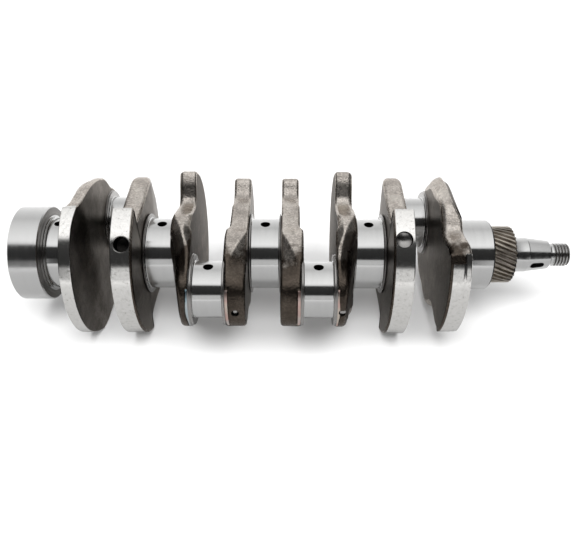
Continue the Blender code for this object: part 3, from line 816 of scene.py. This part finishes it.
def make_main_journal(number):
    node = f"main_journal_{number}"
    low, high = node_box(node)
    left, right = low[0] - JOURNAL_GAP, high[0] + JOURNAL_GAP
    inner_low, inner_high = node_box("main_journal_3")
    half = (inner_high[0] - inner_low[0]) / 2
    if number == 1:
        # Its front end is free behind the gear, and chamfered; the chamfer is near black, a
        # painted shadow line in front of the gear.
        right = high[0]
        hole_x = left + half + JOURNAL_GAP
        profile = left_end(left, MAIN_R)
        profile += [(right - 1.5, MAIN_R), (right, MAIN_R - 1.5, 1), (right, 0.0)]
    elif number == 5:
        # Two ledges lead up to the flange.
        hole_x = right - half - JOURNAL_GAP
        profile = [(left, 0.0), (left, 32.4), (left + 1.0, 32.4), (left + 1.3, 32.0),
                   (left + 1.5, 31.2), (left + 2.9, 31.2), (left + 3.2, 30.9),
                   (left + 3.7, MAIN_R)] + right_end(right, MAIN_R)
    else:
        hole_x = (left + right) / 2
        profile = left_end(left, MAIN_R) + right_end(right, MAIN_R)
    make_journal(node, profile, 0.0, hole_x, MAIN_R, -1 if number == 1 else 1)


def make_crankpin(number):
    node = f"crankpin_{number}"
    low, high = node_box(node)
    x, y, _ = middle(node)
    profile = left_end(low[0] - JOURNAL_GAP, PIN_R) + right_end(high[0] + JOURNAL_GAP, PIN_R)
    make_journal(node, profile, y, x, PIN_R, 1 if y < 0 else -1)


def make_plug(number):
    """A pressed plug with a domed face, at the tip of an odd web."""
    node = f"oil_plug_{number}"
    low, high = node_box(node)
    centre = (low + high) / 2
    side = 1 if centre[1] > 0 else -1
    base = max(abs(low[1]), abs(high[1])) - 5.0
    shells = Shells()
    profile = [(0.0, 0.0), (0.0, PLUG_R), (3.4, PLUG_R), (3.9, PLUG_R - 0.4),
               (4.4, PLUG_R - 1.3), (4.65, PLUG_R - 2.1), (4.7, 0.0)]
    turn_profile(shells, profile, steps=36)
    # The profile's X becomes the way out of the nose.
    shells.points = [(centre[0] + across, side * (base + out), centre[2] + up)
                     for out, across, up in shells.points]
    add_piece(node + "_pressed", shells.mesh(node, [PLUG]), node)


# ---------------------------------------------------------------- ends of the shaft

def make_flange():
    low, high = node_box("flywheel_flange")
    rear, front = low[0], high[0]
    # The bearing's seat, the rear face with its shallow recess, the rim and the front face.
    profile = [(rear + 16.0, 0.0), (rear + 16.0, 11.0), (rear + 12.9, 11.0), (rear + 12.9, 17.5),
               (rear + 0.8, 17.5), (rear, 18.3), (rear, 24.0), (rear + 0.25, 24.2),
               (rear + 0.25, 36.0), (rear, 36.2), (rear, FLANGE_R - 1.0), (rear + 1.0, FLANGE_R),
               (front - 0.9, FLANGE_R), (front, FLANGE_R - 0.9), (front, 34.6, 2),
               (front + 0.25, 34.3, 2), (front + 0.25, 30.0, 2), (front - 0.5, 0.0, 2)]
    shells = Shells()
    turn_profile(shells, profile, steps=180)
    looks = [MACHINED, BORE_SHADE, END_FACE]
    obj = add_piece("flywheel_flange_turned", shells.mesh("flange", looks), "flywheel_flange")

    def hole(angle, section):
        mouth = (rear, BOLT_CIRCLE_R * math.cos(angle), BOLT_CIRCLE_R * math.sin(angle))
        # The holes' walls take the near-black bore look: painted shade.
        return bore_cutter(mouth, (1, 0, 0), section, len(looks), 1, 28)

    crest_r, groove_r, half_pitch = 3.85, 4.35, 0.6
    thread = [(-1.0, 5.9), (0.0, 4.9), (0.55, groove_r)]
    thread += [(1.0 + half_pitch * k, groove_r if k % 2 else crest_r) for k in range(26)]
    cutters = [hole(2 * math.pi * (i + 0.25) / 6, thread) for i in range(6)]
    cutters.append(hole(math.radians(45.0), [(-1.0, 4.2), (0.4, 3.0), (9.0, 3.0)]))
    baked_cut(obj, cutters)


def keyway_cutter(centre_x):
    """A slot with round ends, along X, on the side of the nose that faces -Y."""
    turn = math.radians(8.0)
    way = Vector((0.0, -math.cos(turn), -math.sin(turn)))
    half_width, half_length = 2.5, 5.65
    run = half_length - half_width
    steps = 40
    rings = []
    # How far from the axis each ring lies, and how much wider it is than the slot.
    for depth, grow in ((9.85, 0.0), (12.7, 0.0), (13.6, 0.45), (16.5, 1.2)):
        ring = []
        for k in range(steps):
            a = 2 * math.pi * k / steps
            along = math.copysign(run, math.cos(a)) + (half_width + grow) * math.cos(a)
            across = (half_width + grow) * math.sin(a)
            point = way * depth + Vector((along, across * way.z, -across * way.y))
            ring.append((centre_x + point.x, point.y, point.z))
        rings.append(ring)
    bottom, top = [[tuple(np.mean(np.array(ring), axis=0))] for ring in (rings[0], rings[-1])]
    shells = Shells()
    shells.add_rings([bottom] + rings + [top], [0] + [1] * len(rings))
    return add_to_scene("cutter", shells.mesh("cutter", [None, None]))


def make_front_nose():
    low, high = node_box("front_nose")
    _, gear_high = node_box("drive_gear")
    journal_x = middle("main_journal_3")[0]
    seat = gear_high[0] + 0.6
    taper = journal_x + TAPER_X
    taper_end = taper + TAPER_LEN
    end = high[0] - 0.1
    # The gear's seat, the pulley's seat, the taper and the thread's core.
    profile = [(low[0], 0.0), (low[0], 17.6), (seat - 0.6, 17.6), (seat, 17.0), (seat, 15.9),
               (seat + 0.5, 15.1), (seat + 1.2, 14.75), (taper, 14.75), (taper + 0.3, 14.55),
               (taper + 0.8, 14.488), (taper_end - 0.3, 12.25), (taper_end + 0.1, 11.9),
               (taper_end + 1.6, 9.8), (taper_end + 2.0, 9.4), (end, 9.4), (end, 0.0)]
    shells = Shells()
    turn_profile(shells, profile)
    # The keyway's walls take the near-black bore look: painted shade.
    obj = add_piece("front_nose_turned", shells.mesh("nose", [MACHINED, BORE_SHADE]), "front_nose")
    baked_cut(obj, [keyway_cutter(journal_x + KEYWAY_X)])


def make_thread():
    """A real helical thread: the radius follows the turn as well as the place along X."""
    low, high = node_box("nose_thread")
    pitch, outer, depth = 2.6, 10.1, 1.6
    rows, steps = 130, 96
    smooth_angle = 60.0
    xs = np.linspace(low[0] - 0.3, high[0], rows)
    rings = [[(xs[0], 0.0, 0.0)]]
    slots = []
    for x in xs:
        # The thread starts and ends in a chamfer.
        limit = min(outer - 1.2 + (high[0] - x) * 0.9, outer - 0.9 + (x - xs[0]))
        ring = []
        shaded_root = np.zeros(steps, int)
        for k in range(steps):
            a = 2 * math.pi * k / steps
            phase = ((x - low[0]) / pitch - k / steps) % 1.0
            flank = min(1.0, max(0.0, 2.5 * abs(phase - 0.5) - 0.1))
            radius = min(outer - depth * flank, limit)
            # Faces deep in the groove take the darker end-face look: painted shade in the
            # thread's roots.
            shaded_root[k] = flank > 0.5 and x < high[0] - 0.6
            ring.append((x, radius * math.cos(a), radius * math.sin(a)))
        rings.append(ring)
        slots.append(shaded_root)
    rings.append([(xs[-1], 0.0, 0.0)])
    shells = Shells()
    shells.add_rings(rings, [0] + slots[:-1] + [0])
    mesh = shells.mesh("thread", [MACHINED, END_FACE], smooth_angle)
    add_piece("nose_thread_cut", mesh, "nose_thread")


def make_gear():
    """The helical gear: rounded teeth, with the ends of the teeth chamfered."""
    low, high = node_box("drive_gear")
    teeth, module = 34, 1.25
    helix = math.radians(22.8)
    first_tooth = -0.11     # in teeth
    chamfer = 0.5
    bore = 17.65
    smooth_angle = 40.0
    width = high[0] - low[0]
    pitch_r = module * teeth / math.cos(helix) / 2
    tip_r, root_r = pitch_r + module - 0.02, pitch_r - 1.25 * module
    # One tooth: how far round its pitch each point lies, and how high, from root to tip.
    shape = [(0.0, 0.0), (0.14, 0.06), (0.22, 0.3), (0.29, 0.62), (0.35, 0.93), (0.385, 1.0),
             (0.565, 1.0), (0.6, 0.93), (0.66, 0.62), (0.73, 0.3), (0.81, 0.06), (0.95, 0.0)]
    layers = [0.0, 0.045] + [0.1 + 0.8 * k / 8 for k in range(9)] + [0.955, 1.0]
    rear, front = low[0] + GEAR_GAP, high[0]
    total = len(shape) * teeth

    def plain_ring(x, radius):
        return [(x, radius * math.cos(2 * math.pi * k / total),
                 radius * math.sin(2 * math.pi * k / total)) for k in range(total)]

    rings = [plain_ring(rear, bore), plain_ring(rear, 19.2)]
    for layer in layers:
        x = rear + (width - GEAR_GAP) * layer
        turn = math.tan(helix) * width / pitch_r * layer
        edge = min(layer, 1 - layer) * width
        limit = tip_r - max(0.0, chamfer - edge)
        ring = []
        for tooth in range(teeth):
            for part, height in shape:
                radius = min(root_r + (tip_r - root_r) * height, limit)
                angle = (tooth + part + first_tooth) * 2 * math.pi / teeth + turn
                ring.append((x, radius * math.cos(angle), radius * math.sin(angle)))
        rings.append(ring)
    rings += [plain_ring(x, radius) for x, radius in
              ((front, 20.2), (front - 0.5, 19.9), (front - 0.5, 18.6), (front, 18.2),
               (front, bore), (rear, bore))]
    shells = Shells()
    shells.add_rings(rings, [0] * (len(rings) - 1))
    add_piece("drive_gear_cut", shells.mesh("gear", [GEAR], smooth_angle), "drive_gear")


# ---------------------------------------------------------------- pilot bearing

BALL_COUNT = 8
BALL_R = 2.95
GROOVE_R = 3.05         # the balls' track
BALL_PITCH_R = 12.5
LAND = 2.2              # from the balls' pitch circle to a ring's land beside the track


def make_bearing_rings():
    low, high = node_box("pilot_outer_ring")
    x, half = (low[0] + high[0]) / 2, (high[0] - low[0]) / 2
    edge = 0.6
    reach = math.degrees(math.atan2(math.sqrt(GROOVE_R ** 2 - LAND ** 2), LAND))
    for name, out, wall_r, track_at, body in (("outer", 1, 17.45, 90.0, CRANK),
                                              ("inner", -1, 7.5, 270.0, "pilot_race")):
        track = round_corner((0.0, BALL_PITCH_R), GROOVE_R, track_at + out * reach,
                             track_at - out * reach, 12)
        land_r, edge_r = BALL_PITCH_R + out * LAND, wall_r - out * edge
        profile = [(-half, land_r)] + track + [(half, land_r), (half, edge_r),
                                               (half - edge, wall_r), (edge - half, wall_r),
                                               (-half, edge_r), (-half, land_r)]
        shells = Shells()
        turn_profile(shells, [(x + px, r) for px, r in profile])
        node = f"pilot_{name}_ring"
        add_piece(node + "_ground", shells.mesh(name, [BEARING]), node, body=body)


def make_rolling_set():
    """The cage, with a round pocket for each ball, and the balls."""
    x = middle("pilot_outer_ring")[0]
    section = [(-3.9, 11.5), (-3.8, 13.5), (3.8, 13.5), (3.9, 11.5), (-3.9, 11.5)]
    shells = Shells()
    turn_profile(shells, [(x + px, r) for px, r in section], steps=96)
    obj = add_piece("pilot_cage_pressed", shells.mesh("cage", [CAGE]), "pilot_cage",
                    body="pilot_rolling_set")
    balls = [f"pilot_ball_{i + 1}" for i in range(BALL_COUNT)]
    cutters = []
    for name in balls:
        centre = middle(name)
        way = Vector((0.0, centre[1], centre[2])).normalized()
        mouth = (x, way.y * 8.0, way.z * 8.0)
        cutters.append(bore_cutter(mouth, way, [(0.0, 3.2), (9.0, 3.2)], 1, 0, 32))
    baked_cut(obj, cutters)
    for name in balls:
        mesh = bpy.data.meshes.new(name)
        work = bmesh.new()
        bmesh.ops.create_icosphere(work, subdivisions=4, radius=BALL_R * MM)
        bmesh.ops.translate(work, vec=Vector(middle(name)) * MM, verts=work.verts)
        work.to_mesh(mesh)
        work.free()
        mesh.materials.append(BEARING)
        mesh.shade_smooth()
        add_piece(name + "_ground", mesh, name, body="pilot_rolling_set")


def make_shields():
    for end, out in (("rear", -1), ("front", 1)):
        node = "pilot_shield_" + end
        low, high = node_box(node)
        centre_x, thick = (low[0] + high[0]) / 2, (high[0] - low[0]) / 2
        section = [(-thick, 10.6), (-thick, 11.2), (-thick + 0.3, 11.5), (-thick + 0.3, 13.4),
                   (-thick, 13.7), (-thick, 14.4), (thick, 14.4), (thick, 10.6),
                   (-thick, 10.6)]
        shells = Shells()
        turn_profile(shells, [(centre_x - out * px, r) for px, r in section], steps=96)
        add_piece(node + "_moulded", shells.mesh(node, [RUBBER]), node)


# ---------------------------------------------------------------- stage

FLOOR_GREY = (0.62, 0.62, 0.62, 1.0)
FLOOR_REACH = 6.0
WHITE = (1.0, 1.0, 1.0, 1.0)
WORLD_STRENGTH = 1.5
BACKGROUND_GREY = (0.68, 0.68, 0.68, 1.0)


def make_floor():
    """A pale floor that glows away from the object, painted light where the lamp falls off. Its
    front is dimmer in reflections: painted shade seen only by glossy rays.
    """
    floor_z = CAD_BOX[0][2] - 0.0002
    mesh = bpy.data.meshes.new("floor")
    corners = [(-1, -1), (1, -1), (1, 1), (-1, 1)]
    mesh.from_pydata([(x * FLOOR_REACH, y * FLOOR_REACH, floor_z) for x, y in corners], [],
                     [(0, 1, 2, 3)])
    floor = add_to_scene("floor", mesh)
    mat, tree, shader = new_material("floor_look", 0.0, 0.9, FLOOR_GREY[:3])
    shader.inputs["Specular IOR Level"].default_value = 0.0
    shader.inputs["Emission Color"].default_value = WHITE
    coords = add_node(tree, "ShaderNodeTexCoord")
    away = add_node(tree, "ShaderNodeVectorMath", {0: coords.outputs["Object"]},
                    operation="LENGTH")
    glow = ramp(tree, away.outputs["Value"], [(0.0, 0.12), (0.4, 0.12), (1.0, 0.8)])
    spot = add_node(tree, "ShaderNodeSeparateXYZ", {"Vector": coords.outputs["Object"]})
    depth = maths(tree, "ADD", spot.outputs["Y"], 0.5)
    mirrored = ramp(tree, depth, [(0.46, 0.52), (0.56, 1.0)])
    path = add_node(tree, "ShaderNodeLightPath")
    reflection_dimming = mixed(tree, path.outputs["Is Glossy Ray"], WHITE, mirrored)
    for socket, value in (("Base Color", FLOOR_GREY), ("Emission Strength", glow)):
        tree.links.new(mixed(tree, 1.0, value, reflection_dimming, "MULTIPLY"), shader.inputs[socket])
    mesh.materials.append(mat)


def make_world():
    """The studio: a low and a high lit panel in front of and above the object."""
    world = bpy.data.worlds.new("studio")
    bpy.context.scene.world = world
    world.use_nodes = True
    tree = world.node_tree
    back = tree.nodes["Background"]
    coords = add_node(tree, "ShaderNodeTexCoord")
    parts = add_node(tree, "ShaderNodeSeparateXYZ", {"Vector": coords.outputs["Generated"]})
    front = maths(tree, "MULTIPLY", parts.outputs["Y"], -1.0)
    angle = maths(tree, "ARCTAN2", parts.outputs["Z"], front)
    half_turns = maths(tree, "DIVIDE", angle, math.pi)
    side = maths(tree, "ABSOLUTE", parts.outputs["X"])

    def panel(bands, fade):
        """Brightness by height angle in degrees, from the front over the top to the back,
        fading to the sides."""
        shade = ramp(tree, half_turns,
                     [(degrees / 180.0, level / WORLD_STRENGTH) for degrees, level in bands])
        return mixed(tree, 1.0, shade, ramp(tree, side, fade), "MULTIPLY")

    low = panel([(0.0, 0.8), (14.0, 0.75), (17.0, 0.0)], [(0.31, 1.0), (0.38, 0.06)])
    high = panel([(16.0, 0.0), (18.0, 0.03), (52.0, 0.05), (57.0, 1.2), (64.0, 1.4),
                  (78.0, 1.3), (92.0, 1.17), (108.0, 1.03), (126.0, 0.82),
                  (150.0, 1.0), (175.0, 1.2)], [(0.48, 1.0), (0.7, 0.1)])
    path = add_node(tree, "ShaderNodeLightPath")
    panels = mixed(tree, 1.0, low, high, "ADD")
    seen = mixed(tree, path.outputs["Is Camera Ray"], panels, BACKGROUND_GREY)
    tree.links.new(seen, back.inputs["Color"])
    back.inputs["Strength"].default_value = WORLD_STRENGTH


def make_light():
    """One soft light above and in front, aimed at the origin."""
    light = bpy.data.lights.new("overhead", "AREA")
    light.shape = "RECTANGLE"
    light.size, light.size_y = 1.4, 0.9
    light.energy = 46.0
    obj = add_to_scene("overhead", light)
    obj.location = (0.0, -0.75, 1.35)
    obj.rotation_euler = (-obj.location).to_track_quat("-Z", "Y").to_euler()
    obj.visible_glossy = False


def make_camera():
    camera = bpy.data.cameras.new("camera")
    camera.lens = 39.07
    camera.sensor_width = 36.0
    camera.clip_start = 0.01
    obj = add_to_scene("camera", camera)
    obj.location = (-0.0041, -0.4442, 0.318)
    obj.rotation_mode = "XYZ"
    obj.rotation_euler = (math.radians(90.0 - 37.33), math.radians(-0.12),
                          math.radians(0.24))
    bpy.context.scene.camera = obj
    bpy.context.scene.view_settings.view_transform = "Standard"
    bpy.context.scene.view_settings.look = "None"


def main():
    make_floor()
    make_world()
    make_light()
    make_camera()
    for number in range(1, 9):
        make_web(number)
    for number in range(1, 6):
        make_main_journal(number)
    for number in range(1, 5):
        make_crankpin(number)
        make_plug(number)
    make_flange()
    make_front_nose()
    make_thread()
    make_gear()
    make_bearing_rings()
    make_rolling_set()
    make_shields()
    # The gear's key stays as the CAD's solid.
    NODES["gear_key"].data.materials.clear()
    NODES["gear_key"].data.materials.append(PLUG)


main()
